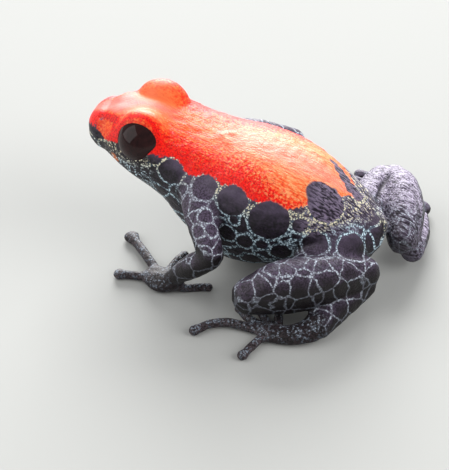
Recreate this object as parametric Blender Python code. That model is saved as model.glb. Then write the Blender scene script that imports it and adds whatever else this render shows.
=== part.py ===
"""Reticulated poison frog: a still model of the whole animal, life size, sitting on its four feet.

Metres, +Z up. The snout points to -Y and the frog's left side is +X. The origin lies on the floor
under the middle of the frog. Every piece is a smooth loft along a limb or along the back.
"""

import math

import bmesh
import bpy
from mathutils import Vector

# Driving dimensions. Places and sizes further down are in millimetres, in the body's own frame,
# for a frog of DRAWN_LENGTH, and all of them scale with SNOUT_VENT.
DRAWN_LENGTH = 16.0
SNOUT_VENT = 0.016
SCALE = SNOUT_VENT / DRAWN_LENGTH
MIDDLE = (-0.181, 0.661)
GAP = 0.1
FLOOR = 0.0

EYE_RADIUS = 1.32
# Centre of each eyeball and the way that it looks. The head is held a little rolled.
EYES = {"left": ((1.49, -4.87, 6.45), (0.88, -0.05, 0.5)), "right": ((-1.49, -4.9, 6.45), (-0.98, -0.06, 0.18))}
LID_RADIUS = 1.46
LID_RISE = 0.1
LID_EDGE = 0.78
NECK_PLACE = (0.0, -3.1, 5.5)
NECK_AXIS = (0.0, -0.97, 0.24)

# Places along the back, from vent to snout: y, z, half width, height above, depth below, then how
# square the section is above and below, where 2 is an ellipse
BACK = [
    (7.0, 2.5, 1.55, 1.15, 1.45, 2.0, 2.2),
    (5.8, 2.95, 2.4, 1.65, 2.1, 2.0, 2.4),
    (4.0, 3.5, 3.0, 2.25, 2.95, 2.0, 2.7),
    (2.2, 4.0, 3.5, 2.45, 3.8, 2.0, 2.9),
    (0.4, 4.45, 3.5, 2.32, 4.15, 2.0, 2.9),
    (-1.2, 4.95, 3.15, 1.85, 3.7, 2.0, 2.6),
    (-2.6, 5.45, 2.85, 1.5, 3.1, 2.0, 2.3),
    (-3.8, 5.75, 2.75, 1.5, 2.65, 2.2, 2.2),
    (-5.0, 5.95, 2.6, 1.7, 2.3, 2.4, 2.2),
    (-6.2, 6.05, 2.2, 1.35, 1.85, 2.6, 2.2),
    (-7.2, 6.0, 1.6, 0.9, 1.45, 2.6, 2.2),
]
SNOUT_BULGE = 1.1
VENT_BULGE = 0.8
BODY_SIDES = 24
LIMB_SIDES = 10
DIGIT_SIDES = 8
ROUND = (2.0, 2.0)

# Limb pieces from the body outwards: x, y, z, half width and half height
LIMBS = {
    "upper_arm_left": [(1.6, -1.6, 5.0, 0.95, 0.95), (3.2, -1.15, 4.5, 0.85, 0.85),
                       (4.3, -0.3, 3.6, 0.74, 0.72), (4.95, 0.25, 2.85, 0.66, 0.64)],
    "forearm_left": [(4.95, 0.2, 2.75, 0.62, 0.62), (5.05, -0.8, 1.95, 0.68, 0.62),
                     (4.95, -1.95, 0.75, 0.5, 0.42)],
    "hand_left": [(4.95, -1.75, 0.55, 0.55, 0.42), (4.85, -2.4, 0.34, 0.85, 0.44),
                  (4.5, -3.1, 0.26, 0.75, 0.36)],
    "thigh_left": [(1.3, 6.2, 2.75, 1.25, 1.2), (3.0, 5.3, 2.2, 1.15, 1.1),
                   (4.5, 4.1, 1.95, 0.95, 0.9), (5.8, 2.9, 1.9, 0.8, 0.8)],
    "shank_left": [(6.2, 2.6, 1.9, 0.9, 0.95), (5.2, 4.1, 2.2, 1.2, 1.5),
                   (3.9, 5.9, 2.15, 1.15, 1.4), (2.2, 7.7, 1.85, 0.75, 0.9)],
    "tarsus_left": [(2.3, 7.6, 1.2, 0.7, 0.65), (3.9, 6.85, 0.9, 0.8, 0.72), (5.7, 6.2, 0.64, 0.78, 0.6)],
    "foot_left": [(5.95, 6.0, 0.52, 0.72, 0.52), (6.5, 5.1, 0.4, 0.62, 0.44), (6.6, 3.9, 0.28, 0.62, 0.38)],
    "upper_arm_right": [(-1.6, -1.5, 5.0, 0.95, 0.95), (-3.1, -0.8, 4.6, 0.85, 0.85),
                        (-4.2, 0.3, 3.9, 0.74, 0.72), (-5.0, 1.1, 3.25, 0.68, 0.66)],
    "forearm_right": [(-5.0, 1.05, 3.1, 0.64, 0.64), (-5.6, -0.4, 2.1, 0.66, 0.6),
                      (-6.3, -2.1, 0.75, 0.5, 0.42)],
    "hand_right": [(-6.4, -2.0, 0.55, 0.55, 0.42), (-6.65, -2.8, 0.34, 0.85, 0.44),
                   (-6.9, -3.5, 0.26, 0.8, 0.36)],
    "thigh_right": [(-1.2, 6.1, 2.7, 1.15, 1.1), (-2.7, 6.05, 2.35, 1.0, 1.05),
                    (-3.9, 6.05, 2.25, 0.9, 0.98), (-4.9, 6.15, 2.15, 0.8, 0.85)],
    "shank_right": [(-5.15, 6.6, 2.0, 0.85, 0.95), (-4.1, 7.3, 2.15, 1.12, 1.3),
                    (-2.5, 8.05, 2.1, 1.12, 1.25), (-0.9, 8.55, 1.85, 0.8, 0.85)],
    "tarsus_right": [(-1.15, 9.0, 1.05, 0.62, 0.6), (-2.9, 8.85, 0.8, 0.56, 0.54),
                     (-4.5, 8.35, 0.55, 0.48, 0.44)],
    "foot_right": [(-5.35, 8.3, 0.42, 0.46, 0.42), (-5.85, 7.05, 0.36, 0.55, 0.42),
                   (-6.3, 6.0, 0.28, 0.62, 0.38)],
}

# Each piece gives way to the neighbours named here, which keep their whole shape
GIVES_WAY = {
    "upper_arm": ["body"],
    "forearm": ["upper_arm", "body"],
    "hand": ["forearm"],
    "thigh": ["body"],
    "shank": ["thigh", "body"],
    "tarsus": ["shank", "thigh", "body"],
    "foot": ["tarsus", "shank"],
}

# Digits: points from the palm or sole to the tip, half thickness of the shaft, half width of the disc
DIGITS = {
    "finger_1_left": ([(4.3, -2.5, 0.2), (3.3, -2.45, 0.22), (2.4, -2.25, 0.18)], 0.24, 0.28),
    "finger_2_left": ([(4.2, -3.0, 0.22), (3.15, -4.15, 0.28), (2.05, -5.35, 0.22)], 0.25, 0.44),
    "finger_3_left": ([(4.7, -3.0, 0.22), (4.85, -3.9, 0.22), (5.02, -4.8, 0.2)], 0.24, 0.38),
    "finger_4_left": ([(5.0, -2.3, 0.2), (4.85, -1.3, 0.19), (4.3, -0.15, 0.17)], 0.22, 0.26),
    "finger_1_right": ([(-6.3, -3.1, 0.2), (-5.7, -3.6, 0.22), (-5.2, -4.1, 0.18)], 0.24, 0.28),
    "finger_2_right": ([(-6.5, -3.4, 0.22), (-6.2, -4.5, 0.24), (-5.9, -5.5, 0.2)], 0.25, 0.38),
    "finger_3_right": ([(-7.0, -3.4, 0.22), (-7.4, -4.7, 0.24), (-7.8, -5.9, 0.2)], 0.25, 0.4),
    "finger_4_right": ([(-7.3, -3.2, 0.22), (-8.1, -3.9, 0.22), (-8.9, -4.6, 0.2)], 0.24, 0.36),
    "toe_1_left": ([(6.4, 4.5, 0.2), (5.7, 4.2, 0.19), (5.2, 4.0, 0.17)], 0.23, 0.25),
    "toe_2_left": ([(6.4, 4.1, 0.2), (5.6, 3.4, 0.19), (5.1, 3.0, 0.17)], 0.23, 0.26),
    "toe_3_left": ([(6.4, 3.8, 0.22), (5.9, 2.7, 0.2), (5.3, 1.9, 0.18)], 0.24, 0.28),
    "toe_4_left": ([(6.6, 3.6, 0.24), (6.6, 2.0, 0.3), (7.0, 1.0, 0.26), (7.7, 0.4, 0.2)], 0.25, 0.32),
    "toe_5_left": ([(6.8, 3.8, 0.22), (7.6, 3.6, 0.24), (8.6, 3.3, 0.19)], 0.24, 0.3),
    "toe_1_right": ([(-5.9, 6.5, 0.2), (-5.1, 6.1, 0.19), (-4.6, 5.8, 0.17)], 0.23, 0.25),
    "toe_2_right": ([(-6.0, 6.1, 0.2), (-5.3, 5.3, 0.19), (-4.8, 4.7, 0.17)], 0.23, 0.26),
    "toe_3_right": ([(-6.05, 5.9, 0.22), (-5.8, 4.7, 0.2), (-5.55, 3.6, 0.18)], 0.24, 0.28),
    "toe_4_right": ([(-6.4, 5.8, 0.24), (-6.6, 4.5, 0.22), (-6.6, 3.1, 0.22), (-6.5, 2.1, 0.2)], 0.25, 0.32),
    "toe_5_right": ([(-6.55, 6.0, 0.22), (-7.15, 5.1, 0.22), (-7.25, 4.05, 0.2)], 0.24, 0.3),
}


def clear_scene():
    for item in list(bpy.data.objects):
        bpy.data.objects.remove(item)


def new_collection(name):
    folder = bpy.data.collections.new(name)
    bpy.context.scene.collection.children.link(folder)
    return folder


def finish(name, colour, roughness):
    material = bpy.data.materials.new(name)
    material.use_nodes = True
    shader = material.node_tree.nodes["Principled BSDF"]
    shader.inputs["Base Color"].default_value = (*colour, 1.0)
    shader.inputs["Roughness"].default_value = roughness
    shader.inputs["Metallic"].default_value = 0.0
    return material


def between(a, b, c, d, t):
    """One value of a smooth curve that passes b at t = 0 and c at t = 1."""
    return 0.5 * (2 * b + (c - a) * t + (2 * a - 5 * b + 4 * c - d) * t ** 2 + (3 * b - a - 3 * c + d) * t ** 3)


def place_at(stations, t):
    """Station at t, a number of spans along a smooth curve through the given ones."""
    span = min(int(t), len(stations) - 2)
    first, last = stations[0], stations[-1]
    before = [2 * p - q for p, q in zip(first, stations[1])]
    after = [2 * p - q for p, q in zip(last, stations[-2])]
    run = [before, *stations, after]
    return [between(*values, t - span) for values in zip(*run[span:span + 4])]


def stretch(stations, start, end, count):
    return [place_at(stations, start + (end - start) * step / (count - 1)) for step in range(count)]


def loft(stations, sides, head_bulge, tail_bulge, grow=0.0, cap_rings=3):
    """Closed mesh through stations x, y, z, half width, height above, depth below and squareness.

    A bulge is how far a rounded end stands past its last station; None leaves that end flat.
    """
    mesh = bmesh.new()
    centres = [Vector(s[:3]) for s in stations]
    rings = []
    for step, station in enumerate(stations):
        ahead = centres[min(step + 1, len(centres) - 1)] - centres[max(step - 1, 0)]
        sizes = [size + grow for size in station[3:6]]
        rings.append((centres[step], ahead.normalized(), *sizes, *station[6:]))

    def cap(end, outward, bulge):
        centre, ahead = end[:2]
        out = []
        for step in range(1, cap_rings + 1):
            angle = math.pi / 2 * step / (cap_rings + 1)
            shift = ahead * (outward * (bulge + grow) * math.sin(angle))
            sizes = [size * math.cos(angle) for size in end[2:5]]
            out.append((centre + shift, ahead, *sizes, *end[5:]))
        return out, centre + ahead * (outward * (bulge + grow))

    tips = [None, None]
    if head_bulge is not None:
        extra, tips[0] = cap(rings[0], -1, head_bulge)
        rings = extra[::-1] + rings
    if tail_bulge is not None:
        extra, tips[1] = cap(rings[-1], 1, tail_bulge)
        rings = rings + extra

    def drop(point):
        return Vector((point.x - MIDDLE[0], point.y - MIDDLE[1], max(point.z, FLOOR - grow))) * SCALE

    loops = []
    for centre, ahead, width, top, bottom, square_top, square_bottom in rings:
        side = ahead.cross(Vector((0, 0, 1))).normalized()
        up = side.cross(ahead)
        loop = []
        for step in range(sides):
            angle = 2 * math.pi * step / sides
            above = math.sin(angle) > 0
            height, square = (top, square_top) if above else (bottom, square_bottom)
            across = math.copysign(abs(math.cos(angle)) ** (2 / square), math.cos(angle))
            rise = math.copysign(abs(math.sin(angle)) ** (2 / square), math.sin(angle))
            loop.append(mesh.verts.new(drop(centre + side * (width * across) + up * (height * rise))))
        loops.append(loop)
    for low, high in zip(loops, loops[1:]):
        for step in range(sides):
            following = (step + 1) % sides
            mesh.faces.new((low[step], low[following], high[following], high[step]))
    for loop, tip in zip((loops[0], loops[-1]), tips):
        if tip is None:
            mesh.faces.new(loop)
            continue
        pole = mesh.verts.new(drop(tip))
        for step in range(sides):
            mesh.faces.new((loop[step], loop[(step + 1) % sides], pole))
    bmesh.ops.triangulate(mesh, faces=mesh.faces[:])
    bmesh.ops.recalc_face_normals(mesh, faces=mesh.faces[:])
    return mesh


def add_object(name, mesh, folder, material=None):
    data = bpy.data.meshes.new(name)
    mesh.to_mesh(data)
    mesh.free()
    data.shade_smooth()
    data.set_sharp_from_angle(angle=math.radians(50))
    item = bpy.data.objects.new(name, data)
    folder.objects.link(item)
    if material:
        data.materials.append(material)
    else:
        item.hide_render = True
        item.display_type = "WIRE"
    return item


def combine(item, other, operation):
    step = item.modifiers.new(f"{operation.lower()}_{other.name}", "BOOLEAN")
    step.operation = operation
    step.object = other
    step.solver = "EXACT"


def body_mesh(grow=0.0):
    back = [(0.0, *station) for station in BACK]
    return loft(stretch(back, 0, len(back) - 1, 21), BODY_SIDES, VENT_BULGE, SNOUT_BULGE, grow)


def keep_behind(mesh, place, axis):
    """Cuts off what lies in front of a plane and closes the cut."""
    cut = bmesh.ops.bisect_plane(mesh, geom=mesh.verts[:] + mesh.edges[:] + mesh.faces[:],
                                 plane_co=place, plane_no=axis, clear_outer=True)
    rim = [item for item in cut["geom_cut"] if isinstance(item, bmesh.types.BMEdge)]
    bmesh.ops.holes_fill(mesh, edges=rim)
    bmesh.ops.triangulate(mesh, faces=mesh.faces[:])
    return mesh


def body_part(side):
    """The trunk is what lies behind the neck (side 1), the head what lies in front of it (side -1)."""
    axis = Vector(NECK_AXIS).normalized() * side
    place = Vector(NECK_PLACE) - axis * (GAP / 2) - Vector((*MIDDLE, 0.0))
    return keep_behind(body_mesh(), place * SCALE, axis)


def limb_mesh(name, grow=0.0):
    stations = [(*station, station[-1], *ROUND) for station in LIMBS[name]]
    width = LIMBS[name][-1][3]
    return loft(stretch(stations, 0, len(stations) - 1, 7), LIMB_SIDES, LIMBS[name][0][3] * 0.8, width * 0.8,
                grow, cap_rings=2)


def digit_mesh(name, grow=0.0):
    points, shaft, disc = DIGITS[name]
    spans = len(points) - 1
    bare = [(*point, shaft, shaft, shaft, *ROUND) for point in points]
    stations = stretch(bare, 0, spans - 0.3, 4)
    tip = place_at(bare, spans)
    neck = place_at(bare, spans - 0.15)
    stations.append([*neck[:3], (shaft + disc) / 2, shaft, shaft, *ROUND])
    stations.append([*tip[:3], disc, shaft, shaft, *ROUND])
    return loft(stations, DIGIT_SIDES, shaft * 0.8, disc * 0.9, grow, cap_rings=2)


def ball(radius, rings, sides):
    mesh = bmesh.new()
    bmesh.ops.create_uvsphere(mesh, u_segments=sides, v_segments=rings, radius=radius * SCALE)
    return mesh


def set_in_head(mesh, word):
    """Turns a mesh's +Z to the eye's axis and moves its middle to the eye on that side."""
    centre, axis = EYES[word]
    turn = Vector((0, 0, 1)).rotation_difference(Vector(axis).normalized()).to_matrix()
    place = (Vector(centre) - Vector((*MIDDLE, 0.0))) * SCALE
    for vert in mesh.verts:
        vert.co = turn @ vert.co + place
    return mesh


def lid_mesh(word):
    """The lid is a ball round the eye, a little higher than it and open on its outer side."""
    mesh = set_in_head(keep_behind(ball(LID_RADIUS, 9, 16), (0, 0, LID_EDGE * SCALE), (0, 0, 1)), word)
    bmesh.ops.translate(mesh, verts=mesh.verts, vec=(0, 0, LID_RISE * SCALE))
    return mesh


def build():
    clear_scene()
    frog = new_collection("poison_frog")
    cutters = new_collection("cutters")
    red = (0.80, 0.08, 0.02)
    dark = (0.035, 0.022, 0.04)

    add_object("trunk", body_part(1), frog, finish("trunk_skin", red, 0.4))
    head = add_object("head", body_part(-1), frog, finish("head_skin", red, 0.4))
    for word in EYES:
        combine(head, add_object(f"lid_{word}", lid_mesh(word), cutters), "UNION")
        socket = add_object(f"socket_{word}", set_in_head(ball(EYE_RADIUS + GAP / 2, 9, 16), word), cutters)
        combine(head, socket, "DIFFERENCE")
        eye = set_in_head(ball(EYE_RADIUS, 9, 16), word)
        add_object(f"eye_{word}", eye, frog, finish(f"eye_{word}", (0.005, 0.004, 0.006), 0.08))

    grown = {"body": add_object("body_grown", body_mesh(GAP), cutters)}
    for name in LIMBS:
        grown[name] = add_object(f"{name}_grown", limb_mesh(name, GAP), cutters)
    for name in LIMBS:
        kind, word = name.rsplit("_", 1)
        item = add_object(name, limb_mesh(name), frog, finish(f"{name}_skin", dark, 0.5))
        for neighbour in GIVES_WAY[kind]:
            combine(item, grown[neighbour if neighbour == "body" else f"{neighbour}_{word}"], "DIFFERENCE")
    for name in DIGITS:
        kind, number, word = name.split("_")
        item = add_object(name, digit_mesh(name), frog, finish(f"{name}_skin", dark, 0.5))
        root = "hand" if kind == "finger" else "foot"
        combine(item, grown[f"{root}_{word}"], "DIFFERENCE")


build()
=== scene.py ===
import math

import bmesh
import bpy
import numpy as np
from mathutils import Matrix, Vector, noise


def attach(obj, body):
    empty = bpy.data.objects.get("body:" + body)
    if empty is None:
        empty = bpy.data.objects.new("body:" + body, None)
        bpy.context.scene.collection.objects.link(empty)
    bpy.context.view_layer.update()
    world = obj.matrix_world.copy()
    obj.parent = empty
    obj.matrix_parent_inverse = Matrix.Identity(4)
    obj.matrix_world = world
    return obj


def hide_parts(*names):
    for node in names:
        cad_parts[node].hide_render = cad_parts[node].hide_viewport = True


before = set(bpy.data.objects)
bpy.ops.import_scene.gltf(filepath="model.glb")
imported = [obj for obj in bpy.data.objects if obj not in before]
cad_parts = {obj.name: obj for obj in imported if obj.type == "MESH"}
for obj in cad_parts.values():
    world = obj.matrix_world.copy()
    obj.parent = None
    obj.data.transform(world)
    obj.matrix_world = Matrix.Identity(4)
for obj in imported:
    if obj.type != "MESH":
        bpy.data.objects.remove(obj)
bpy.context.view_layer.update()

# View of the frog
# A museum shoots a frog of this size with a long macro lens, from its left, above and a little
# behind. Nothing is out of focus, and the middle of the sensor looks at the middle of the picture.
MM = 0.001
MIDDLE = Vector((-0.181, 0.661, 0.0))
CAMERA_TURN = math.radians(111)
CAMERA_RISE = math.radians(40)
CAMERA_DISTANCE = 150.0
PICTURE = (449, 470)
PIXELS_PER_MM = 19.5
VENT_PLACE = Vector((0.0, 7.5, 2.4))
VENT_PIXEL = (378.0, 238.0)
SENSOR = 36.0


def aim_camera():
    turn, rise = CAMERA_TURN, CAMERA_RISE
    level = math.cos(rise)
    back = Vector((math.sin(turn) * level, -math.cos(turn) * level, math.sin(rise)))
    right = Vector((math.cos(turn), math.sin(turn), 0.0))
    up = back.cross(right)
    across = (VENT_PIXEL[0] - PICTURE[0] / 2) / PIXELS_PER_MM
    down = (VENT_PIXEL[1] - PICTURE[1] / 2) / PIXELS_PER_MM
    eye = VENT_PLACE - right * across + up * down + back * CAMERA_DISTANCE - MIDDLE
    lens = bpy.data.cameras.new("macro_camera")
    lens.lens = SENSOR * PIXELS_PER_MM * CAMERA_DISTANCE / PICTURE[1]
    lens.sensor_width = SENSOR
    lens.clip_start = 10 * MM
    lens.clip_end = 10.0
    camera = bpy.data.objects.new("macro_camera", lens)
    bpy.context.scene.collection.objects.link(camera)
    turned = Matrix((right, up, back)).transposed().to_4x4()
    camera.matrix_world = Matrix.Translation(eye * MM) @ turned
    bpy.context.scene.camera = camera


aim_camera()

# Skin: rough form
# The frog's skin is one moist, unbroken sheet over the flesh. It is first laid out as closed tubes
# along the back, the limbs and the digits, which are then melted into one surface. Sizes are in
# millimetres, the snout points to negative y, and the frog's left side is at positive x.
BODY_SIDES = 56
LIMB_SIDES = 22
DIGIT_SIDES = 16
SNOUT_BULGE = 1.1
VENT_BULGE = 0.8
# From vent to snout: y, z, half width, height above, depth below, then how square the section is
# above and below, where 2 is an ellipse
BACK = [
    (7.0, 2.5, 1.55, 1.15, 1.45, 2.0, 2.2),
    (5.8, 2.95, 2.4, 1.65, 2.1, 2.0, 2.4),
    (4.0, 3.5, 3.0, 2.25, 2.95, 2.0, 2.7),
    (2.2, 4.0, 3.5, 2.45, 3.8, 2.0, 2.9),
    (0.4, 4.45, 3.5, 2.32, 4.15, 2.0, 2.9),
    (-1.2, 4.95, 3.15, 1.85, 3.7, 2.0, 2.6),
    (-2.6, 5.45, 2.85, 1.5, 3.1, 2.0, 2.3),
    (-3.8, 5.75, 2.75, 1.5, 2.65, 2.2, 2.2),
    (-5.0, 5.95, 2.6, 1.7, 2.3, 2.4, 2.2),
    (-6.2, 6.05, 2.2, 1.35, 1.85, 2.6, 2.2),
    (-7.2, 6.0, 1.6, 0.9, 1.45, 2.6, 2.2),
]
# From the body outwards: x, y, z, half width and half height
LIMBS = {
    "upper_arm_left": [(1.6, -1.6, 5.0, 0.95, 0.95), (3.2, -1.15, 4.5, 0.85, 0.85),
                       (4.3, -0.3, 3.6, 0.74, 0.72), (4.95, 0.25, 2.85, 0.66, 0.64)],
    "forearm_left": [(4.95, 0.2, 2.75, 0.62, 0.62), (5.05, -0.8, 1.95, 0.68, 0.62),
                     (4.95, -1.95, 0.75, 0.5, 0.42)],
    "hand_left": [(4.95, -1.75, 0.55, 0.55, 0.42), (4.85, -2.4, 0.34, 0.85, 0.44),
                  (4.5, -3.1, 0.26, 0.75, 0.36)],
    "thigh_left": [(1.3, 6.2, 2.75, 1.25, 1.2), (3.0, 5.3, 2.2, 1.15, 1.1),
                   (4.5, 4.1, 1.95, 0.95, 0.9), (5.8, 2.9, 1.9, 0.8, 0.8)],
    "shank_left": [(6.2, 2.6, 1.9, 0.9, 0.95), (5.2, 4.1, 2.2, 1.2, 1.5),
                   (3.9, 5.9, 2.15, 1.15, 1.4), (2.2, 7.7, 1.85, 0.75, 0.9)],
    "tarsus_left": [(2.3, 7.6, 1.2, 0.7, 0.65), (3.9, 6.85, 0.9, 0.8, 0.72),
                    (5.7, 6.2, 0.64, 0.78, 0.6)],
    "foot_left": [(5.95, 6.0, 0.52, 0.72, 0.52), (6.5, 5.1, 0.4, 0.62, 0.44),
                  (6.6, 3.9, 0.28, 0.62, 0.38)],
    "upper_arm_right": [(-1.6, -1.5, 5.0, 0.95, 0.95), (-3.1, -0.8, 4.6, 0.85, 0.85),
                        (-4.2, 0.3, 3.9, 0.74, 0.72), (-5.0, 1.1, 3.25, 0.68, 0.66)],
    "forearm_right": [(-5.0, 1.05, 3.1, 0.64, 0.64), (-5.6, -0.4, 2.1, 0.66, 0.6),
                      (-6.3, -2.1, 0.75, 0.5, 0.42)],
    "hand_right": [(-6.4, -2.0, 0.55, 0.55, 0.42), (-6.65, -2.8, 0.34, 0.85, 0.44),
                   (-6.9, -3.5, 0.26, 0.8, 0.36)],
    "thigh_right": [(-1.2, 6.1, 2.7, 1.15, 1.1), (-2.7, 6.05, 2.35, 1.0, 1.05),
                    (-3.9, 6.05, 2.25, 0.9, 0.98), (-4.9, 6.15, 2.15, 0.8, 0.85)],
    "shank_right": [(-5.15, 6.6, 2.0, 0.85, 0.95), (-4.1, 7.3, 2.15, 1.12, 1.3),
                    (-2.5, 8.05, 2.1, 1.12, 1.25), (-0.9, 8.55, 1.85, 0.8, 0.85)],
    "tarsus_right": [(-1.15, 9.0, 1.05, 0.62, 0.6), (-2.9, 8.85, 0.8, 0.56, 0.54),
                     (-4.5, 8.35, 0.55, 0.48, 0.44)],
    "foot_right": [(-5.35, 8.3, 0.42, 0.46, 0.42), (-5.85, 7.05, 0.36, 0.55, 0.42),
                   (-6.3, 6.0, 0.28, 0.62, 0.38)],
}
# From the palm or sole to the tip, then half thickness of the shaft and half width of the disc
DIGITS = {
    "finger_1_left": ([(4.3, -2.5, 0.2), (3.3, -2.45, 0.22), (2.4, -2.25, 0.18)], 0.24, 0.28),
    "finger_2_left": ([(4.2, -3.0, 0.22), (3.15, -4.15, 0.28), (2.05, -5.35, 0.22)], 0.25, 0.44),
    "finger_3_left": ([(4.7, -3.0, 0.22), (4.85, -3.9, 0.22), (5.02, -4.8, 0.2)], 0.24, 0.38),
    "finger_4_left": ([(5.0, -2.3, 0.2), (4.85, -1.3, 0.19), (4.3, -0.15, 0.17)], 0.22, 0.26),
    "finger_1_right": ([(-6.3, -3.1, 0.2), (-5.7, -3.6, 0.22), (-5.2, -4.1, 0.18)], 0.24, 0.28),
    "finger_2_right": ([(-6.5, -3.4, 0.22), (-6.2, -4.5, 0.24), (-5.9, -5.5, 0.2)], 0.25, 0.38),
    "finger_3_right": ([(-7.0, -3.4, 0.22), (-7.4, -4.7, 0.24), (-7.8, -5.9, 0.2)], 0.25, 0.4),
    "finger_4_right": ([(-7.3, -3.2, 0.22), (-8.1, -3.9, 0.22), (-8.9, -4.6, 0.2)], 0.24, 0.36),
    "toe_1_left": ([(6.4, 4.5, 0.2), (5.7, 4.2, 0.19), (5.2, 4.0, 0.17)], 0.23, 0.25),
    "toe_2_left": ([(6.4, 4.1, 0.2), (5.6, 3.4, 0.19), (5.1, 3.0, 0.17)], 0.23, 0.26),
    "toe_3_left": ([(6.4, 3.8, 0.22), (5.9, 2.7, 0.2), (5.3, 1.9, 0.18)], 0.24, 0.28),
    "toe_4_left": ([(6.6, 3.6, 0.24), (6.6, 2.0, 0.3), (7.0, 1.0, 0.26), (7.7, 0.4, 0.2)], 0.25, 0.32),
    "toe_5_left": ([(6.8, 3.8, 0.22), (7.6, 3.6, 0.24), (8.6, 3.3, 0.19)], 0.24, 0.3),
    "toe_1_right": ([(-5.9, 6.5, 0.2), (-5.1, 6.1, 0.19), (-4.6, 5.8, 0.17)], 0.23, 0.25),
    "toe_2_right": ([(-6.0, 6.1, 0.2), (-5.3, 5.3, 0.19), (-4.8, 4.7, 0.17)], 0.23, 0.26),
    "toe_3_right": ([(-6.05, 5.9, 0.22), (-5.8, 4.7, 0.2), (-5.55, 3.6, 0.18)], 0.24, 0.28),
    "toe_4_right": ([(-6.4, 5.8, 0.24), (-6.6, 4.5, 0.22), (-6.6, 3.1, 0.22), (-6.5, 2.1, 0.2)],
                    0.25, 0.32),
    "toe_5_right": ([(-6.55, 6.0, 0.22), (-7.15, 5.1, 0.22), (-7.25, 4.05, 0.2)], 0.24, 0.3),
}
EYE_RADIUS = 1.32
# Centre of each eyeball and the way that it looks. The head is held a little rolled.
EYES = {
    "left": ((1.49, -4.87, 6.45), (0.88, -0.05, 0.5)),
    "right": ((-1.49, -4.9, 6.45), (-0.98, -0.06, 0.18)),
}
# How far off the eye's axis the lids end, in degrees: to either side, above and below
LID_OPENING = (61, 49, 54)


def between(a, b, c, d, t):
    """One value of a smooth curve that passes b at t = 0 and c at t = 1."""
    square, cube = 2 * a - 5 * b + 4 * c - d, 3 * b - a - 3 * c + d
    return 0.5 * (2 * b + (c - a) * t + square * t ** 2 + cube * t ** 3)


def place_at(stations, t):
    """Station at t, a number of spans along a smooth curve through the given ones."""
    span = min(int(t), len(stations) - 2)
    before = [2 * p - q for p, q in zip(stations[0], stations[1])]
    after = [2 * p - q for p, q in zip(stations[-1], stations[-2])]
    run = [before, *stations, after]
    return [between(*values, t - span) for values in zip(*run[span:span + 4])]


def stretch(stations, start, end, count):
    return [place_at(stations, start + (end - start) * step / (count - 1)) for step in range(count)]


def add_tube(mesh, stations, sides, first_bulge, last_bulge, cap_rings=5):
    """Adds a closed tube through stations x, y, z, half width, height above and depth below, and
    how square its section is above and below."""
    centres = [Vector(station[:3]) for station in stations]
    rings = []
    for step, station in enumerate(stations):
        ahead = centres[min(step + 1, len(centres) - 1)] - centres[max(step - 1, 0)]
        rings.append((centres[step], ahead.normalized(), *station[3:]))

    def cap(end, way, bulge):
        out = []
        for step in range(1, cap_rings + 1):
            angle = math.radians(86) * step / cap_rings
            shift = end[1] * (way * bulge * math.sin(angle))
            sizes = [size * math.cos(angle) for size in end[2:5]]
            out.append((end[0] + shift, end[1], *sizes, *end[5:]))
        return out

    rings = cap(rings[0], -1, first_bulge)[::-1] + rings + cap(rings[-1], 1, last_bulge)
    loops = []
    for centre, ahead, width, top, bottom, square_top, square_bottom in rings:
        side = ahead.cross(Vector((0, 0, 1))).normalized()
        up = side.cross(ahead)
        made = bmesh.ops.create_circle(mesh, segments=sides, radius=1.0)["verts"]
        edges = list({edge for vert in made for edge in vert.link_edges})
        for vert in made:
            height, square = (top, square_top) if vert.co.y > 0 else (bottom, square_bottom)
            across = math.copysign(abs(vert.co.x) ** (2 / square), vert.co.x)
            rise = math.copysign(abs(vert.co.y) ** (2 / square), vert.co.y)
            vert.co = centre + side * (width * across) + up * (height * rise)
            vert.co.z = max(vert.co.z, 0.0)
        loops.append(edges)
    for low, high in zip(loops, loops[1:]):
        bmesh.ops.bridge_loops(mesh, edges=low + high)
    for edges in (loops[0], loops[-1]):
        bmesh.ops.contextual_create(mesh, geom=edges)


def add_eyelid(mesh, place, axis):
    """The lid is a thin lip where it meets the eyeball, and grows thicker behind and above it."""
    made = bmesh.ops.create_uvsphere(mesh, u_segments=56, v_segments=40, radius=1.0)["verts"]
    ahead = Vector(axis).normalized()
    across = ahead.cross(Vector((0, 0, 1))).normalized()
    above = across.cross(ahead)
    for vert in made:
        ray = ahead * vert.co.z + across * vert.co.x + above * vert.co.y
        off_axis = math.degrees(math.acos(max(-1.0, min(1.0, vert.co.z))))
        around = math.atan2(vert.co.y, vert.co.x)
        open_upright = LID_OPENING[1] if around > 0 else LID_OPENING[2]
        margin = 1 / math.hypot(math.cos(around) / LID_OPENING[0], math.sin(around) / open_upright)
        bands = [margin - 12, margin, margin + 8, margin + 25]
        thick = np.interp(off_axis, bands, [-0.2, 0.07, 0.08, 0.12])
        swell = 0.15 * max(0.0, ray.z) * np.interp(off_axis, [margin, margin + 20], [0.2, 1.0])
        vert.co = Vector(place) + ray * (EYE_RADIUS + float(thick + swell))


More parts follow.
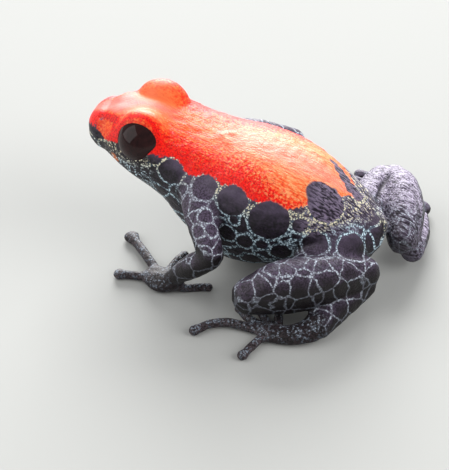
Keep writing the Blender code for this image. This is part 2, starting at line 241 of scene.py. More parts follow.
def rough_skin():
    mesh = bmesh.new()
    back = [(0.0, *station) for station in BACK]
    plain = (2.0, 2.0)
    add_tube(mesh, stretch(back, 0, len(back) - 1, 45), BODY_SIDES, VENT_BULGE, SNOUT_BULGE, 8)
    for stations in LIMBS.values():
        full = [(*station, station[-1], *plain) for station in stations]
        run = stretch(full, 0, len(full) - 1, 16)
        add_tube(mesh, run, LIMB_SIDES, full[0][3] * 0.8, full[-1][3] * 0.8)
    for points, shaft, disc in DIGITS.values():
        bare = [(*point, shaft, shaft, shaft, *plain) for point in points]
        spans = len(points) - 1
        run = stretch(bare, 0, spans - 0.3, 9)
        neck = place_at(bare, spans - 0.15)
        run.append([*neck[:3], (shaft + disc) / 2, shaft, shaft, *plain])
        run.append([*points[-1], disc, shaft, shaft, *plain])
        add_tube(mesh, run, DIGIT_SIDES, shaft * 0.8, disc * 0.9)
    for place, axis in EYES.values():
        add_eyelid(mesh, place, axis)
    bmesh.ops.recalc_face_normals(mesh, faces=mesh.faces[:])
    return mesh


# Skin: one surface
# The tubes are melted together at a tenth of a millimetre, then the joins are eased so that limb runs
# into body without a seam, as living skin does.
MELT = 0.091
EASE = {
    "shoulders": ([(2.9, -1.2, 4.6), (-2.9, -1.4, 4.6)], 0.9),
    "elbows": ([(4.95, 0.2, 2.8), (-5.0, 1.1, 3.2)], 0.5),
    "wrists": ([(4.95, -1.9, 0.7), (-6.3, -2.1, 0.7)], 0.5),
    "palms": ([(4.5, -3.0, 0.3), (4.9, -2.3, 0.3), (-6.9, -3.4, 0.3), (-6.5, -2.9, 0.3)], 0.6),
    "hips": ([(2.2, 5.6, 3.3), (-1.6, 5.6, 3.5), (1.3, 6.9, 2.9), (2.9, 4.4, 3.0)], 1.0),
    "knees": ([(6.1, 2.5, 2.0), (-5.2, 6.3, 2.1)], 0.5),
    "heels": ([(2.2, 7.8, 1.5), (-0.9, 8.8, 1.4)], 0.5),
    "ankles": ([(5.9, 6.1, 0.6), (-5.0, 8.3, 0.5)], 0.5),
    "soles": ([(6.6, 3.9, 0.3), (-6.3, 6.0, 0.3)], 0.6),
}


def melt(mesh):
    """Turns overlapping closed tubes, in millimetres, into one closed surface."""
    data = bpy.data.meshes.new("melt")
    mesh.to_mesh(data)
    mesh.free()
    item = bpy.data.objects.new("melt", data)
    bpy.context.scene.collection.objects.link(item)
    step = item.modifiers.new("melt", "REMESH")
    step.mode = "VOXEL"
    step.voxel_size = MELT
    graph = bpy.context.evaluated_depsgraph_get()
    out = bpy.data.meshes.new_from_object(item.evaluated_get(graph))
    bpy.data.objects.remove(item)
    return out


def keep_outer(data):
    """Deletes the tiny closed bubbles that melting leaves inside, so that one surface is left."""
    mesh = bmesh.new()
    mesh.from_mesh(data)
    front = [max(mesh.verts, key=lambda vert: vert.co.z)]
    outer = set(front)
    while front:
        reached = {edge.other_vert(vert) for vert in front for edge in vert.link_edges}
        front = list(reached - outer)
        outer |= reached
    strays = [vert for vert in mesh.verts if vert not in outer]
    bmesh.ops.delete(mesh, geom=strays, context="VERTS")
    mesh.to_mesh(data)
    mesh.free()


def read_points(data):
    points = np.empty(len(data.vertices) * 3, dtype=np.float32)
    data.vertices.foreach_get("co", points)
    return points.reshape(-1, 3).astype(float)


def write_points(data, points):
    data.vertices.foreach_set("co", points.astype(np.float32).ravel())
    data.update()


def read_normals(data):
    normals = np.empty(len(data.vertices) * 3, dtype=np.float32)
    data.vertex_normals.foreach_get("vector", normals)
    return normals.reshape(-1, 3).astype(float)


def neighbours(data):
    edges = np.empty(len(data.edges) * 2, dtype=np.int32)
    data.edges.foreach_get("vertices", edges)
    edges = edges.reshape(-1, 2)
    count = np.bincount(edges.ravel(), minlength=len(data.vertices)).astype(float)
    return edges, count


def ease(points, edges, count, weight, rounds):
    """Moves each point towards the middle of its neighbours, as far as its weight says."""
    for _ in range(rounds):
        total = np.zeros_like(points)
        for axis in range(3):
            total[:, axis] += np.bincount(edges[:, 0], points[edges[:, 1], axis], len(points))
            total[:, axis] += np.bincount(edges[:, 1], points[edges[:, 0], axis], len(points))
        points = points + weight[:, None] * (total / count[:, None] - points)
    return points


def near(points, place, reach):
    return np.exp(-(((points - np.array(place)) ** 2).sum(1)) / reach ** 2)


# Skin: the face and the folds
# The mouth is a shut, thin line, the nostrils are small pits, the eardrum is a faint ring, and the
# shoulder blades and hips show as soft swellings under the skin.
MOUTH = ([-8.6, -8.1, -7.4, -6.2, -5.0, -3.8], [5.5, 5.42, 5.3, 5.05, 4.85, 4.9])
# On the left side, and mirrored on the right: place, reach, and how far the skin is pushed out
FOLDS = {
    "nostril": [((0.92, -7.4, 6.83), 0.13, -0.16), ((0.92, -7.4, 6.83), 0.32, 0.04)],
    "snout_edge": [((0.4, -7.75, 6.78), 0.35, 0.01), ((0.58, -7.4, 6.92), 0.35, 0.03),
                   ((0.78, -7.05, 7.06), 0.35, 0.05), ((1.02, -6.7, 7.18), 0.3, 0.06)],
    "snout_top": [((0.4, -7.0, 7.1), 0.45, 0.05), ((0.5, -6.5, 7.25), 0.5, 0.05)],
    "cheek": [((1.5, -6.95, 6.6), 0.5, -0.15), ((1.15, -7.1, 6.82), 0.25, -0.08),
              ((1.42, -6.6, 7.0), 0.25, -0.09)],
    "eye_front": [((1.6, -6.38, 7.0), 0.15, -0.06), ((1.87, -6.22, 6.82), 0.15, -0.06)],
    "eardrum": [((2.72, -3.15, 5.95), 0.36, -0.05)],
    "shoulder_blade": [((1.55, -1.7, 6.9), 0.8, 0.07), ((0.14, -0.95, 6.72), 0.22, 0.07),
                       ((0.34, -0.62, 6.7), 0.22, 0.08)],
    "hip": [((0.9, 3.9, 5.8), 0.9, 0.07)],
}
# Where the right thigh and shank press together, and where the tarsus comes out from under the
# shank: the line, how far the skin is pushed in, and how dark its painted shade is there
CREASES = [
    ([(-4.12, 6.68, 3.14), (-3.55, 6.57, 3.05), (-2.86, 6.59, 3.1), (-1.74, 6.85, 3.34),
      (-0.86, 7.21, 3.5), (-0.55, 7.48, 3.4), (-0.16, 7.71, 3.2), (-0.08, 7.85, 2.58)], 0.14, 1.0),
    ([(-3.6, 8.19, 3.29), (-2.93, 8.61, 3.14), (-2.46, 8.91, 2.85), (-1.86, 9.06, 2.62),
      (-1.42, 9.16, 2.46), (-1.11, 9.25, 2.19), (-1.09, 9.3, 1.68)], 0.05, 0.5),
]
CREASE_REACH = 0.16
# The band of deeper red from the snout's tip to the eye, painted shade under the snout's edge
SNOUT_SHADE_BAND = [(0.35, -8.1, 6.45), (0.59, -7.87, 6.67), (0.74, -7.47, 6.85), (0.9, -7.06, 6.95),
              (1.15, -6.67, 7.05), (1.34, -6.35, 7.1)]


def near_line(points, line, reach, side=1):
    """How near each point is to a line, or to its mirror image."""
    run = stretch(line, 0, len(line) - 1, 50)
    return np.max([near(points, (x * side, y, z), reach) for x, y, z in run], axis=0)


def shape_face(points, normals):
    push = np.zeros(len(points))
    for line, depth, _ in CREASES:
        push -= depth * near_line(points, line, CREASE_REACH)
    mouth = np.interp(points[:, 1], *MOUTH)
    along = np.clip((-3.9 - points[:, 1]) / 0.5, 0, 1)
    lip = np.abs(normals[:, 2]) < 0.93
    push -= 0.07 * np.exp(-((points[:, 2] - mouth) / 0.06) ** 2) * along * lip
    push += 0.03 * np.exp(-((points[:, 2] - mouth - 0.22) / 0.14) ** 2) * along * lip
    for side in (1, -1):
        for fold in FOLDS.values():
            for (x, y, z), reach, way in fold:
                push += way * near(points, (x * side, y, z), reach)
    return points + normals * push[:, None]


# Skin: markings
# The red of the back ends in a scalloped edge along the flank. Below it lie black spots, each with a
# pale ring. The places are read along the frog: y from snout to vent, angle up from the flank.
RED_EDGE = (
    [-8.6, -8.0, -7.5, -7.2, -6.9, -6.6, -6.2, -5.0, -4.4, -3.9, -3.5, -3.0, -2.4, -2.1, -1.6, -1.2,
     -0.5, 0.0, 0.5, 1.0, 1.5, 2.1, 3.3, 3.8, 4.2, 4.8, 5.4, 5.9, 6.6],
    [14, 17, 19, 9, 3, 5, 10, 12, 14, 16, 17, 22, 20, 15, 16, 22,
     26, 24, 29, 29, 24, 25, 27, 33, 39, 47, 64, 88, 120],
)
# What each point of the skin is told, for the finish to read
MARKS = ("red", "limb", "foot", "digit", "face", "height", "rear", "head", "dome", "upper", "painted_crease_shade")
CREASE_SHADE_REACH = 0.12
SNOUT_BAND_REACH = 0.17
# Reach of a digit's own finish from its middle line, about a digit's thickness
DIGIT_REACH = 0.5


def mark_skin(data, points, normals):
    back_y = np.array([station[0] for station in BACK])[::-1]
    back_z = np.array([station[1] for station in BACK])[::-1]
    rise = points[:, 2] - np.interp(points[:, 1], back_y, back_z)
    away = np.hypot(points[:, 0], rise)
    angle = np.degrees(np.arctan2(rise, np.abs(points[:, 0])))
    rear = np.clip((points[:, 1] - 3.0) / 1.5, 0, 1)
    edge = np.interp(points[:, 1] - 0.5 * rear * (points[:, 0] < 0), *RED_EDGE)
    red = np.clip(np.radians(angle - edge) * np.maximum(away, 0.6), -3.0, 3.0)
    limb = np.zeros(len(points))
    foot = np.zeros(len(points))
    digit = np.zeros(len(points))
    for name, stations in LIMBS.items():
        full = [(*station, station[-1]) for station in stations]
        for place in stretch(full, 1.2 if name.startswith("thigh") else 0, len(full) - 1, 14):
            reach = max(place[3], place[4]) + 0.25
            hit = near(points, place[:3], reach)
            limb = np.maximum(limb, np.clip((hit - 0.2) * 3, 0, 1))
            if name.startswith(("hand", "foot")):
                foot = np.maximum(foot, np.clip((hit - 0.25) * 3, 0, 1))
    for run, _, _ in DIGITS.values():
        for place in stretch(run, 0, len(run) - 1, 12):
            digit = np.maximum(digit, np.clip((near(points, place, DIGIT_REACH) - 0.2) * 4, 0, 1))
    foot = np.maximum(foot, digit)
    face = np.clip((-3.6 - points[:, 1]) / 0.8, 0, 1) * np.clip((points[:, 1] + 6.9) / 0.5, 0, 1)
    face *= np.clip((14 - angle) / 10, 0, 1)
    rear = np.clip((points[:, 1] - 3.9) / 0.8, 0, 1) * np.clip((points[:, 2] - 3.6) / 0.6, 0, 1)
    far_rear = np.clip((points[:, 1] - 4.0) / 1.0, 0, 1) * np.clip(-points[:, 0] / 1.5, 0, 1)
    rear = np.maximum(rear, far_rear)
    height = np.clip((angle - edge) / np.maximum(90 - edge, 10), 0, 1)
    head = np.clip((-3.2 - points[:, 1]) / 1.2, 0, 1)
    dome = np.zeros(len(points))
    for centre, axis in EYES.values():
        ray = points - np.array(centre)
        reach = np.sqrt((ray ** 2).sum(1))
        facing = ray @ np.array(axis) / reach / Vector(axis).length
        off_axis = np.degrees(np.arccos(np.clip(facing, -1, 1)))
        height -= 0.5 * np.exp(-((off_axis - 60) / 4.5) ** 2) * np.clip((1.9 - reach) / 0.2, 0, 1)
        dome = np.maximum(dome, np.clip((1.95 - reach) / 0.35, 0, 1))
    # Painted shade: colour darkened along the lines where the skin presses together
    painted_crease_shade = np.zeros(len(points))
    for line, _, darkness in CREASES:
        painted_crease_shade = np.maximum(painted_crease_shade, darkness * near_line(points, line, CREASE_SHADE_REACH))
    # Painted shade: the red is deepened just below the snout's edge
    for side in (1, -1):
        height -= 0.7 * near_line(points, SNOUT_SHADE_BAND, SNOUT_BAND_REACH, side)
    upper = normals[:, 2]
    layers = (red, limb, foot, digit, face, height, rear, head, dome, upper, painted_crease_shade)
    for name, values in zip(MARKS, layers):
        layer = data.attributes.new(name, "FLOAT", "POINT")
        layer.data.foreach_set("value", values.astype(np.float32))


# Skin: finish
# Living frog skin is granular and wet. The grains give small sparks of light, the red is a strong
# pigment, deep on the flank and orange on the back, and the net between the spots is a chain of pale
# blue grains that turns cream near it. Painted sheen lightens the top of the red and its wrinkles,
# painted shade deepens it below the snout's edge, and the dark skin is painted lighter facing up.
# Middle and radius of each black spot, then of the black over the nostril pits, painted shade in them
SPOTS = [
    ((2.77, -2.8, 5.85), 0.67), ((3.04, -2.04, 5.13), 0.3), ((2.97, -0.88, 5.54), 0.66),
    ((3.21, 0.71, 5.32), 0.8), ((3.27, 2.7, 4.59), 1.05), ((2.77, 4.22, 4.38), 0.4),
    ((1.39, 5.1, 5.08), 1.0), ((1.22, 4.68, 5.44), 0.72), ((3.5, 0.55, 3.4), 0.45),
    ((3.52, 1.53, 3.13), 0.44), ((3.4, 2.4, 3.06), 0.3), ((3.12, 1.74, 1.68), 0.54),
    ((3.53, 0.94, 4.39), 0.24), ((3.06, 3.32, 2.63), 0.55), ((2.79, 5.07, 3.41), 0.68),
    ((2.23, 6.84, 3.29), 0.75), ((4.77, -0.54, 4.12), 0.31), ((4.44, 0.1, 4.18), 0.31),
    ((4.08, -0.37, 4.69), 0.36), ((-2.75, -2.7, 6.0), 0.7), ((-3.0, -1.0, 5.5), 0.6),
    ((-3.25, 0.9, 5.1), 0.85), ((-3.1, 3.0, 4.5), 0.95), ((-3.4, 1.2, 3.2), 0.6),
    ((-3.3, 2.6, 2.9), 0.5), ((-1.45, 4.5, 5.43), 0.28), ((-1.1, 4.95, 5.3), 0.36),
    ((-0.8, 5.35, 5.1), 0.4), ((-0.5, 5.8, 4.9), 0.4), ((-0.35, 6.2, 4.6), 0.4),
    # Black over the nostril pits: painted shade in the openings
    ((0.95, -7.38, 6.82), 0.14), ((-0.95, -7.38, 6.82), 0.14),
]
# Middle of the orange fleck on the lip, and of the lighter red on the cheek
LIP_SPOT = (2.12, -6.17, 5.41)
CHEEK = (1.5, -6.95, 6.6)


def linear(code):
    """sRGB hex to the linear values that a shader takes."""
    values = [int(code[i:i + 2], 16) / 255 for i in (1, 3, 5)]
    return (*[v / 12.92 if v <= 0.04045 else ((v + 0.055) / 1.055) ** 2.4 for v in values], 1.0)


def add(tree, kind, inputs=(), out=None, **settings):
    """Adds a node and gives one of its outputs. inputs holds numbers, colours or other nodes'
    outputs, by name or in the order of the node's open sockets."""
    node = tree.nodes.new("ShaderNode" + kind)
    for key, value in settings.items():
        setattr(node, key, value)
    sockets = [socket for socket in node.inputs if socket.enabled]
    if isinstance(inputs, dict):
        sockets = [node.inputs[key] for key in inputs]
        inputs = inputs.values()
    for socket, value in zip(sockets, inputs):
        if isinstance(value, bpy.types.NodeSocket):
            tree.links.new(value, socket)
        else:
            socket.default_value = value
    if out:
        return node.outputs[out]
    return next((socket for socket in node.outputs if socket.enabled), None)


def new_material(name):
    material = bpy.data.materials.new(name)
    material.use_nodes = True
    tree = material.node_tree
    tree.nodes.clear()
    return material, tree


SMOOTH = {"interpolation_type": "SMOOTHSTEP"}
# Net: cells to a millimetre and how uneven they are, on the flank, on a limb and on the face
NET = {"flank": (0.85, 0.8), "limb": (1.1, 0.6), "face": (2.0, 0.9)}
# Moist skin over flesh: its refraction, and the thin film of water on it
SKIN_IOR = 1.36
SKIN_FILM = 0.15
SKIN_FILM_ROUGHNESS = 0.4
GRAIN_DEPTH = 0.00007


def skin_material():
    """Moist granular skin of a living frog: soft highlights broken by grains, deep colour below."""
    material, tree = new_material("living_frog_skin")
    marks = {name: add(tree, "Attribute", out="Fac", attribute_name=name) for name in MARKS}
    red_depth, limb, foot, face = (marks[name] for name in ("red", "limb", "foot", "face"))
    height, rear, head, digit = (marks[name] for name in ("height", "rear", "head", "digit"))

    # All patterns are in millimetres, and a slow wobble keeps spots and net from true circles
    metres = add(tree, "TexCoord", out="Object")
    place = add(tree, "VectorMath", (metres, (1000, 1000, 1000)), operation="MULTIPLY")
    across, along, above_floor = (add(tree, "SeparateXYZ", (place,), out=axis) for axis in "XYZ")
    wobble = add(tree, "TexNoise", {"Vector": place, "Scale": 2.2, "Detail": 2.0}, out="Color")
    shift = add(tree, "VectorMath", (wobble, (0.5, 0.5, 0.5)), operation="SUBTRACT")
    shifted = add(tree, "VectorMath", (shift, (0.3, 0.3, 0.3), place), operation="MULTIPLY_ADD")
    away = {}
    for centre in [*[spot for spot, _ in SPOTS], CHEEK, LIP_SPOT]:
        middle = tuple(Vector(centre) - MIDDLE)
        away[centre] = add(tree, "VectorMath", (shifted, middle), operation="DISTANCE")
    to_spot = None
    for centre, radius in SPOTS:
        gap = add(tree, "Math", (away[centre], radius), operation="SUBTRACT")
        to_spot = gap if to_spot is None else add(tree, "Math", (to_spot, gap), operation="MINIMUM")
    cells_flank, cells_limb, cells_face = (
        add(tree, "TexVoronoi", {"Vector": shifted, "Scale": scale, "Randomness": uneven},
            feature="DISTANCE_TO_EDGE")
        for scale, uneven in NET.values()
    )

    # The real grains, an estimated 0.05 mm, are too fine to show in the render, so they are drawn
    # at about 0.1 mm
    grain_noise = add(tree, "TexNoise", {"Vector": place, "Scale": 7.0, "Detail": 3.0})
    fine_noise = add(tree, "TexNoise", {"Vector": place, "Scale": 11.0, "Detail": 2.0})
    grains = add(tree, "TexVoronoi", {"Vector": place, "Scale": 10.0})
    stretched = add(tree, "Mapping", {"Vector": place, "Rotation": (-0.3, 0.0, 0.0),
                                      "Scale": (0.1, 0.5, 0.1)}, vector_type="TEXTURE")
    wrinkles = add(tree, "TexNoise", {"Vector": stretched, "Scale": 1.0, "Detail": 3.0,
                                      "Distortion": 0.4})

    # Masks: the surfaces that face up, the far hind leg, and what the light from above reaches, which
    # the colours below use for painted light and shade
    top = add(tree, "MapRange", (marks["upper"], 0.25, 0.75), **SMOOTH)
    far_leg = add(tree, "MapRange", (across, -1.2, -2.4), **SMOOTH)
    # On the far hind leg the wrinkled finish, with its painted light, is kept to the faces turned up
    rear = add(tree, "Math", (
        rear,
        add(tree, "Math", (
            top,
            add(tree, "Math", (1.0, far_leg), operation="SUBTRACT"),
        ), operation="MAXIMUM"),
    ), operation="MULTIPLY")
    # Painted light: more where a surface faces up and stands high above the floor, most on limb tops
    upper = add(tree, "Math", (
        marks["upper"],
        add(tree, "MapRange", (above_floor, 0.3, 3.0, 0.45, 1.0), **SMOOTH),
    ), operation="MULTIPLY")
    upper = add(tree, "Math", (
        upper,
        add(tree, "Math", (
            limb,
            add(tree, "MapRange", (above_floor, 3.3, 4.2, 0.0, 0.6), **SMOOTH),
        ), operation="MULTIPLY"),
    ), operation="ADD")

    # Spots with their pale rings, and the net between them
    ring = add(tree, "Math", (
        add(tree, "MapRange", (to_spot, -0.02, 0.03), **SMOOTH),
        add(tree, "MapRange", (to_spot, 0.17, 0.09), **SMOOTH),
    ), operation="MULTIPLY")
    lines = add(tree, "Mix", (
        limb,
        add(tree, "MapRange", (cells_flank, 0.075, 0.03), **SMOOTH),
        add(tree, "MapRange", (cells_limb, 0.062, 0.02), **SMOOTH),
    ))
    lines = add(tree, "Math", (
        lines,
        add(tree, "MapRange", (to_spot, 0.1, 0.2), **SMOOTH),
    ), operation="MULTIPLY")
    lines = add(tree, "Math", (lines, ring), operation="MAXIMUM")
    off_spots = add(tree, "Math", (
        rear,
        add(tree, "MapRange", (to_spot, 0.1, 0.25), **SMOOTH),
    ), operation="MULTIPLY")
    lines = add(tree, "Mix", (
        off_spots,
        lines,
        add(tree, "MapRange", (wrinkles, 0.49, 0.57), **SMOOTH),
    ))
    beads = add(tree, "Math", (
        add(tree, "MapRange", (grains, 0.62, 0.34), **SMOOTH),
        add(tree, "Math", (limb, 0.15), operation="MULTIPLY"),
    ), operation="MAXIMUM")
    broken = add(tree, "MapRange", (grain_noise, 0.26, 0.4), **SMOOTH)
    speckled = add(tree, "Math", (foot, face), operation="MAXIMUM")
    sparse = add(tree, "Math", (
        grain_noise,
        add(tree, "Math", (
            add(tree, "Math", (foot, digit), operation="SUBTRACT"),
            0.05,
        ), operation="MULTIPLY"),
    ), operation="SUBTRACT")
    flecks = add(tree, "Math", (
        add(tree, "MapRange", (cells_face, 0.2, 0.08), **SMOOTH),
        add(tree, "MapRange", (sparse, 0.42, 0.54), **SMOOTH),
    ), operation="MULTIPLY")
    grained = add(tree, "Math", (
        add(tree, "Mix", (speckled, add(tree, "Math", (lines, broken), operation="MULTIPLY"), flecks)),
        beads,
    ), operation="MULTIPLY")

    # Where the red lies, and how light it is, with painted sheen on its wrinkles and on its top
    ragged = add(tree, "Math", (
        red_depth,
        add(tree, "Math", (
            add(tree, "Math", (grain_noise, 0.5), operation="SUBTRACT"),
            0.5,
        ), operation="MULTIPLY"),
    ), operation="ADD")
    is_red = add(tree, "Math", (
        add(tree, "MapRange", (ragged, -0.04, 0.05), **SMOOTH),
        add(tree, "MapRange", (to_spot, -0.06, 0.05), **SMOOTH),
    ), operation="MULTIPLY")
    is_red = add(tree, "Math", (
        is_red,
        add(tree, "MapRange", (speckled, 0.9, 0.4), **SMOOTH),
    ), operation="MULTIPLY")
    orange = add(tree, "Math", (
        height,
        add(tree, "MapRange", (along, 0.5, 4.0, 0.0, 0.4), **SMOOTH),
    ), operation="ADD")
    orange = add(tree, "Math", (
        orange,
        add(tree, "MapRange", (away[CHEEK], 0.75, 0.3, 0.0, 0.42), **SMOOTH),
    ), operation="ADD")
    orange = add(tree, "Math", (
        orange,
        add(tree, "MapRange", (grain_noise, 0.35, 0.65, -0.25, 0.15), **SMOOTH),
    ), operation="ADD")
    deep = add(tree, "Mix", (
        add(tree, "MapRange", (fine_noise, 0.34, 0.58), **SMOOTH),
        linear("#C60000"),
        linear("#FA1200"),
    ), data_type="RGBA")
    rearward = add(tree, "MapRange", (along, -3.5, 1.0), **SMOOTH)
    # Painted sheen: lighter orange along the crests of the wrinkles
    bright = add(tree, "Mix", (
        add(tree, "MapRange", (wrinkles, 0.36, 0.64), **SMOOTH),
        add(tree, "Mix", (rearward, linear("#EE3E0C"), linear("#F8642C")), data_type="RGBA"),
        add(tree, "Mix", (rearward, linear("#FF7434"), linear("#FFA268")), data_type="RGBA"),
    ), data_type="RGBA")
    # Painted sheen: coral on the top of the head and more orange on the eye domes, for the pink sheen
    # there
    painted_crown_sheen = add(tree, "Math", (
        head,
        add(tree, "MapRange", (height, 0.4, 0.8, 0.0, 0.85), **SMOOTH),
    ), operation="MULTIPLY")
    bright = add(tree, "Mix", (
        painted_crown_sheen,
        bright,
        add(tree, "Mix", (marks["dome"], linear("#F0665C"), linear("#F87A46")), data_type="RGBA"),
    ), data_type="RGBA")
    # Painted sheen: pale pink on the top of the back behind the shoulders
    bright = add(tree, "Mix", (
        add(tree, "Math", (
            rearward,
            add(tree, "MapRange", (height, 0.45, 0.95, 0.0, 0.6), **SMOOTH),
        ), operation="MULTIPLY"),
        bright,
        linear("#F89284"),
    ), data_type="RGBA")
    red = add(tree, "Mix", (
        add(tree, "MapRange", (orange, 0.12, 0.6), **SMOOTH),
        deep,
        bright,
    ), data_type="RGBA")

    # The dark skin of flanks, legs, feet and rump, painted lighter where the light from above reaches
    # it
    flank = add(tree, "Mix", (
        add(tree, "MapRange", (grain_noise, 0.35, 0.7), **SMOOTH),
        linear("#0D080E"),
        linear("#2A2130"),
    ), data_type="RGBA")
    # Painted light and shade: limbs violet grey on top, near black beneath
    leg = add(tree, "Mix", (
        add(tree, "MapRange", (upper, 0.1, 1.0), **SMOOTH),
        linear("#0D080B"),
        linear("#584C60"),
    ), data_type="RGBA")
    leg = add(tree, "Mix", (
        add(tree, "MapRange", (fine_noise, 0.56, 0.42, 0.0, 0.7), **SMOOTH),
        leg,
        linear("#0C080B"),
    ), data_type="RGBA")
    middles = add(tree, "Math", (
        add(tree, "MapRange", (cells_limb, 0.12, 0.3), **SMOOTH),
        add(tree, "MapRange", (above_floor, 3.4, 4.0, 0.5, 0.0), **SMOOTH),
    ), operation="MULTIPLY")
    middles = add(tree, "Math", (middles, limb), operation="MULTIPLY")
    leg = add(tree, "Mix", (middles, leg, linear("#120B0F")), data_type="RGBA")
    toes = add(tree, "Mix", (
        add(tree, "MapRange", (fine_noise, 0.36, 0.62), **SMOOTH),
        add(tree, "Mix", (digit, linear("#090607"), linear("#141012")), data_type="RGBA"),
        add(tree, "Mix", (digit, linear("#2A2024"), linear("#4A4044")), data_type="RGBA"),
    ), data_type="RGBA")
    # Painted light: the far foot's toes turn pale lilac where they face up
    far_foot_painted_light = add(tree, "Math", (
        add(tree, "Math", (far_leg, top), operation="MULTIPLY"),
        add(tree, "MapRange", (along, 2.0, 3.0, 0.0, 0.5), **SMOOTH),
    ), operation="MULTIPLY")
    toes = add(tree, "Mix", (far_foot_painted_light, toes, linear("#8A7E96")), data_type="RGBA")
    rough = add(tree, "Mix", (
        far_leg,
        wrinkles,
        add(tree, "Math", (
            add(tree, "Math", (wrinkles, fine_noise), operation="ADD"),
            0.5,
        ), operation="MULTIPLY"),
    ))
    # Painted light: the far hind leg's skin is lighter where it faces up
    far_dark_painted_light = add(tree, "Mix", (top, linear("#120C14"), linear("#241B2A")), data_type="RGBA")
    far_pale_painted_light = add(tree, "Mix", (top, linear("#4A4152"), linear("#BAAEC8")), data_type="RGBA")
    wrinkled = add(tree, "Mix", (
        add(tree, "MapRange", (rough, 0.38, 0.6), **SMOOTH),
        add(tree, "Mix", (far_leg, linear("#1E1723"), far_dark_painted_light), data_type="RGBA"),
        add(tree, "Mix", (far_leg, linear("#7A6D84"), far_pale_painted_light), data_type="RGBA"),
    ), data_type="RGBA")
    # Painted sheen: the flank's dark skin turns lilac where it faces up and stands high
    sheen = add(tree, "Math", (
        add(tree, "MapRange", (upper, 0.2, 1.0, 0.0, 0.6), **SMOOTH),
        add(tree, "MapRange", (above_floor, 2.8, 4.6, 0.3, 1.0), **SMOOTH),
    ), operation="MULTIPLY")
    dark = add(tree, "Mix", (
        limb,
        add(tree, "Mix", (sheen, flank, linear("#6E6078")), data_type="RGBA"),
        leg,
    ), data_type="RGBA")
    dark = add(tree, "Mix", (
        foot,
        add(tree, "Mix", (rear, dark, wrinkled), data_type="RGBA"),
        toes,
    ), data_type="RGBA")
    toned = add(tree, "Mix", (limb, linear("#5F7C8C"), linear("#74707E")), data_type="RGBA")
    dark = add(tree, "Mix", (
        add(tree, "Math", (
            lines,
            add(tree, "MapRange", (speckled, 0.8, 0.2, 0.0, 0.3), **SMOOTH),
        ), operation="MULTIPLY"),
        dark,
        toned,
    ), data_type="RGBA")
    dark = add(tree, "Mix", (
        add(tree, "MapRange", (away[LIP_SPOT], 0.36, 0.16), **SMOOTH),
        dark,
        linear("#C0601C"),
    ), data_type="RGBA")

    # The pale net: cream near the red, then blue, and dull where no light falls
    pale = add(tree, "Mix", (
        add(tree, "MapRange", (
            red_depth,
            add(tree, "Mix", (rear, -1.3, -3.2)),
            add(tree, "Mix", (rear, -0.3, -1.6)),
        ), **SMOOTH),
        linear("#CFE8F4"),
        linear("#EDE4C4"),
    ), data_type="RGBA")
    # Painted shade: the net on the limbs dulls where they face down
    pale = add(tree, "Mix", (
        limb,
        pale,
        add(tree, "Mix", (
            add(tree, "MapRange", (upper, 0.0, 0.8), **SMOOTH),
            linear("#5E666E"),
            linear("#C6CFDC"),
        ), data_type="RGBA"),
    ), data_type="RGBA")
    # Painted light: the far hind leg's net is paler where it faces up
    pale = add(tree, "Mix", (
        add(tree, "Math", (off_spots, far_leg), operation="MULTIPLY"),
        pale,
        add(tree, "Mix", (top, linear("#6E6878"), linear("#D2CADC")), data_type="RGBA"),
    ), data_type="RGBA")
    # Painted shade: the net on hands and feet dulls where they face down
    pale = add(tree, "Mix", (
        foot,
        pale,
        add(tree, "Mix", (
            add(tree, "MapRange", (upper, 0.0, 0.8), **SMOOTH),
            linear("#4E5660"),
            linear("#AAB6C6"),
        ), data_type="RGBA"),
    ), data_type="RGBA")
    colour = add(tree, "Mix", (
        is_red,
        add(tree, "Mix", (grained, dark, pale), data_type="RGBA"),
        red,
    ), data_type="RGBA")
    # Painted shade: near black along the lines where the skin presses together
    colour = add(tree, "Mix", (marks["painted_crease_shade"], colour, linear("#0A0709")), data_type="RGBA")

    # Grains, wrinkles and net stand proud of the skin
    relief = add(tree, "Math", (
        add(tree, "Math", (wrinkles, 0.7), operation="MULTIPLY"),
        add(tree, "Math", (grains, -0.25), operation="MULTIPLY"),
    ), operation="ADD")
    relief = add(tree, "Math", (
        relief,
        add(tree, "Math", (grained, 0.12), operation="MULTIPLY"),
    ), operation="ADD")
    relief = add(tree, "Math", (
        relief,
        add(tree, "Math", (
            add(tree, "Math", (wrinkles, rear), operation="MULTIPLY"),
            1.2,
        ), operation="MULTIPLY"),
    ), operation="ADD")
    relief = add(tree, "Math", (
        relief,
        add(tree, "Math", (middles, 0.3), operation="MULTIPLY"),
    ), operation="ADD")
    relief = add(tree, "Math", (
        relief,
        add(tree, "Mix", (add(tree, "Math", (head, is_red), operation="MULTIPLY"), 1.0, 0.2)),
    ), operation="MULTIPLY")

    bump = add(tree, "Bump", {"Height": relief, "Strength": 1.0, "Distance": GRAIN_DEPTH})
    matt = add(tree, "Math", (rear, foot), operation="MAXIMUM")
    roughness = add(tree, "Mix", (matt, 0.5, 0.66))
    shader = add(tree, "BsdfPrincipled", {
        "Base Color": colour, "Normal": bump, "Roughness": roughness, "IOR": SKIN_IOR,
        "Coat Weight": SKIN_FILM, "Coat Roughness": SKIN_FILM_ROUGHNESS,
    })
    add(tree, "OutputMaterial", {"Surface": shader})
    return material


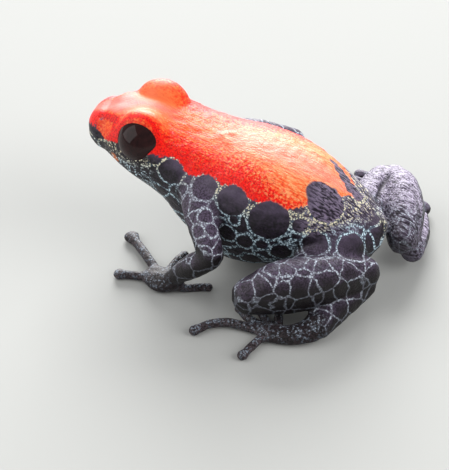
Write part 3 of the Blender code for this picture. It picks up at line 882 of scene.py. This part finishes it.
def finish_skin():
    data = melt(rough_skin())
    keep_outer(data)
    points = read_points(data)
    edges, count = neighbours(data)
    everywhere = np.full(len(points), 0.5)
    points = ease(points, edges, count, everywhere, 4)
    points = ease(points, edges, count, -everywhere * 1.02, 2)
    joins = np.zeros(len(points))
    for places, reach in EASE.values():
        for place in places:
            joins = np.maximum(joins, near(points, place, reach))
    points = ease(points, edges, count, joins * 0.5, 30)
    write_points(data, points)
    points = shape_face(points, read_normals(data))
    write_points(data, points)
    pebbles = np.array([noise.noise(Vector(point) * 2.6) for point in points])
    pebbles *= np.interp(points[:, 1], [-4.4, -3.2], [0.006, 0.035])
    points = points + read_normals(data) * pebbles[:, None]
    points[:, 2] = np.maximum(points[:, 2], 0.0)
    write_points(data, points)
    mark_skin(data, points, read_normals(data))
    write_points(data, (points - np.array(MIDDLE)) * MM)
    data.name = "skin"
    data.shade_smooth()
    data.materials.clear()
    data.materials.append(skin_material())
    skin = bpy.data.objects.new("skin", data)
    bpy.context.scene.collection.objects.link(skin)
    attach(skin, "root")
    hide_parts(*[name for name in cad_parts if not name.startswith("eye")])


finish_skin()

# Eyes
# Each eye is a wet ball with a clear, swollen front over a nearly black iris and pupil.
CORNEA_RISE = 0.04
# Streaks to a metre, a quarter of a millimetre apart, and the refraction of tears
IRIS_STREAKS = 4000.0
TEAR_IOR = 1.33


def eye_material():
    """Wet cornea, which gives small sharp highlights over a faint brown streaking of the iris."""
    material, tree = new_material("wet_dark_eye")
    metres = add(tree, "TexCoord", out="Object")
    streaks = add(tree, "TexNoise", {"Vector": metres, "Scale": IRIS_STREAKS, "Detail": 3.0})
    tint = add(tree, "Mix", (streaks, linear("#080405"), linear("#361A1A")), data_type="RGBA")
    shader = add(tree, "BsdfPrincipled", {
        "Base Color": tint, "Roughness": 0.08, "IOR": TEAR_IOR, "Specular IOR Level": 0.3,
        "Coat Weight": 0.15, "Coat Roughness": 0.03,
    })
    add(tree, "OutputMaterial", {"Surface": shader})
    return material


def make_eyes():
    finish = eye_material()
    for word, (centre, axis) in EYES.items():
        mesh = bmesh.new()
        bmesh.ops.create_uvsphere(mesh, u_segments=64, v_segments=40, radius=EYE_RADIUS)
        turn = Vector((0, 0, 1)).rotation_difference(Vector(axis).normalized()).to_matrix()
        place = Vector(centre) - MIDDLE
        for vert in mesh.verts:
            facing = max(0.0, vert.co.z / EYE_RADIUS)
            vert.co *= 1 - CORNEA_RISE * (1 - facing ** 2) / EYE_RADIUS
            vert.co = (turn @ vert.co + place) * MM
        data = bpy.data.meshes.new(f"eyeball_{word}")
        mesh.to_mesh(data)
        mesh.free()
        data.shade_smooth()
        data.materials.append(finish)
        eye = bpy.data.objects.new(f"eyeball_{word}", data)
        bpy.context.scene.collection.objects.link(eye)
        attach(eye, "root")
        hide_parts(f"eye_{word}")


make_eyes()

# Floor
# A plain pale sheet of studio card, laid flat and large enough to have no edge in view.
FLOOR_HALF = 1.5


def make_floor():
    mesh = bmesh.new()
    bmesh.ops.create_grid(mesh, x_segments=1, y_segments=1, size=FLOOR_HALF)
    data = bpy.data.meshes.new("studio_floor")
    mesh.to_mesh(data)
    mesh.free()
    # Uncoated card is matt, so it takes soft shadows and gives no highlight
    material, tree = new_material("pale_card")
    shader = add(tree, "BsdfPrincipled", {"Base Color": linear("#B2B3B0"), "Roughness": 0.8})
    add(tree, "OutputMaterial", {"Surface": shader})
    data.materials.append(material)
    floor = bpy.data.objects.new("studio_floor", data)
    bpy.context.scene.collection.objects.link(floor)


make_floor()

# Lights
# One broad soft box stands behind the frog on its right and makes the pale sheen along the back. A
# weaker one in front shows the eye, an even sky fills the shadows, and one behind the hind legs, with
# its glare held back by a polariser, models them.
LIGHTS = {
    "soft_box_behind": ((-0.4, -0.15, 0.17), 0.3, 4.9),
    "soft_box_front": ((0.2, -0.38, 0.3), 0.6, 1.9),
    "soft_box_rear": ((-0.05, 0.42, 0.22), 0.4, 2.1),
}
SKY_STRENGTH = 0.4


def make_lights():
    for name, (place, size, power) in LIGHTS.items():
        lamp = bpy.data.lights.new(name, "AREA")
        lamp.shape = "SQUARE"
        lamp.size = size
        lamp.energy = power
        item = bpy.data.objects.new(name, lamp)
        item.location = place
        item.rotation_euler = (-Vector(place)).to_track_quat("-Z", "Y").to_euler()
        item.visible_camera = False
        item.visible_glossy = name != "soft_box_rear"
        bpy.context.scene.collection.objects.link(item)
    world = bpy.data.worlds.new("studio_sky")
    world.use_nodes = True
    sky = world.node_tree.nodes["Background"]
    sky.inputs["Color"].default_value = linear("#EFEFF2")
    sky.inputs["Strength"].default_value = SKY_STRENGTH
    bpy.context.scene.world = world
    bpy.context.scene.view_settings.view_transform = "Standard"


make_lights()
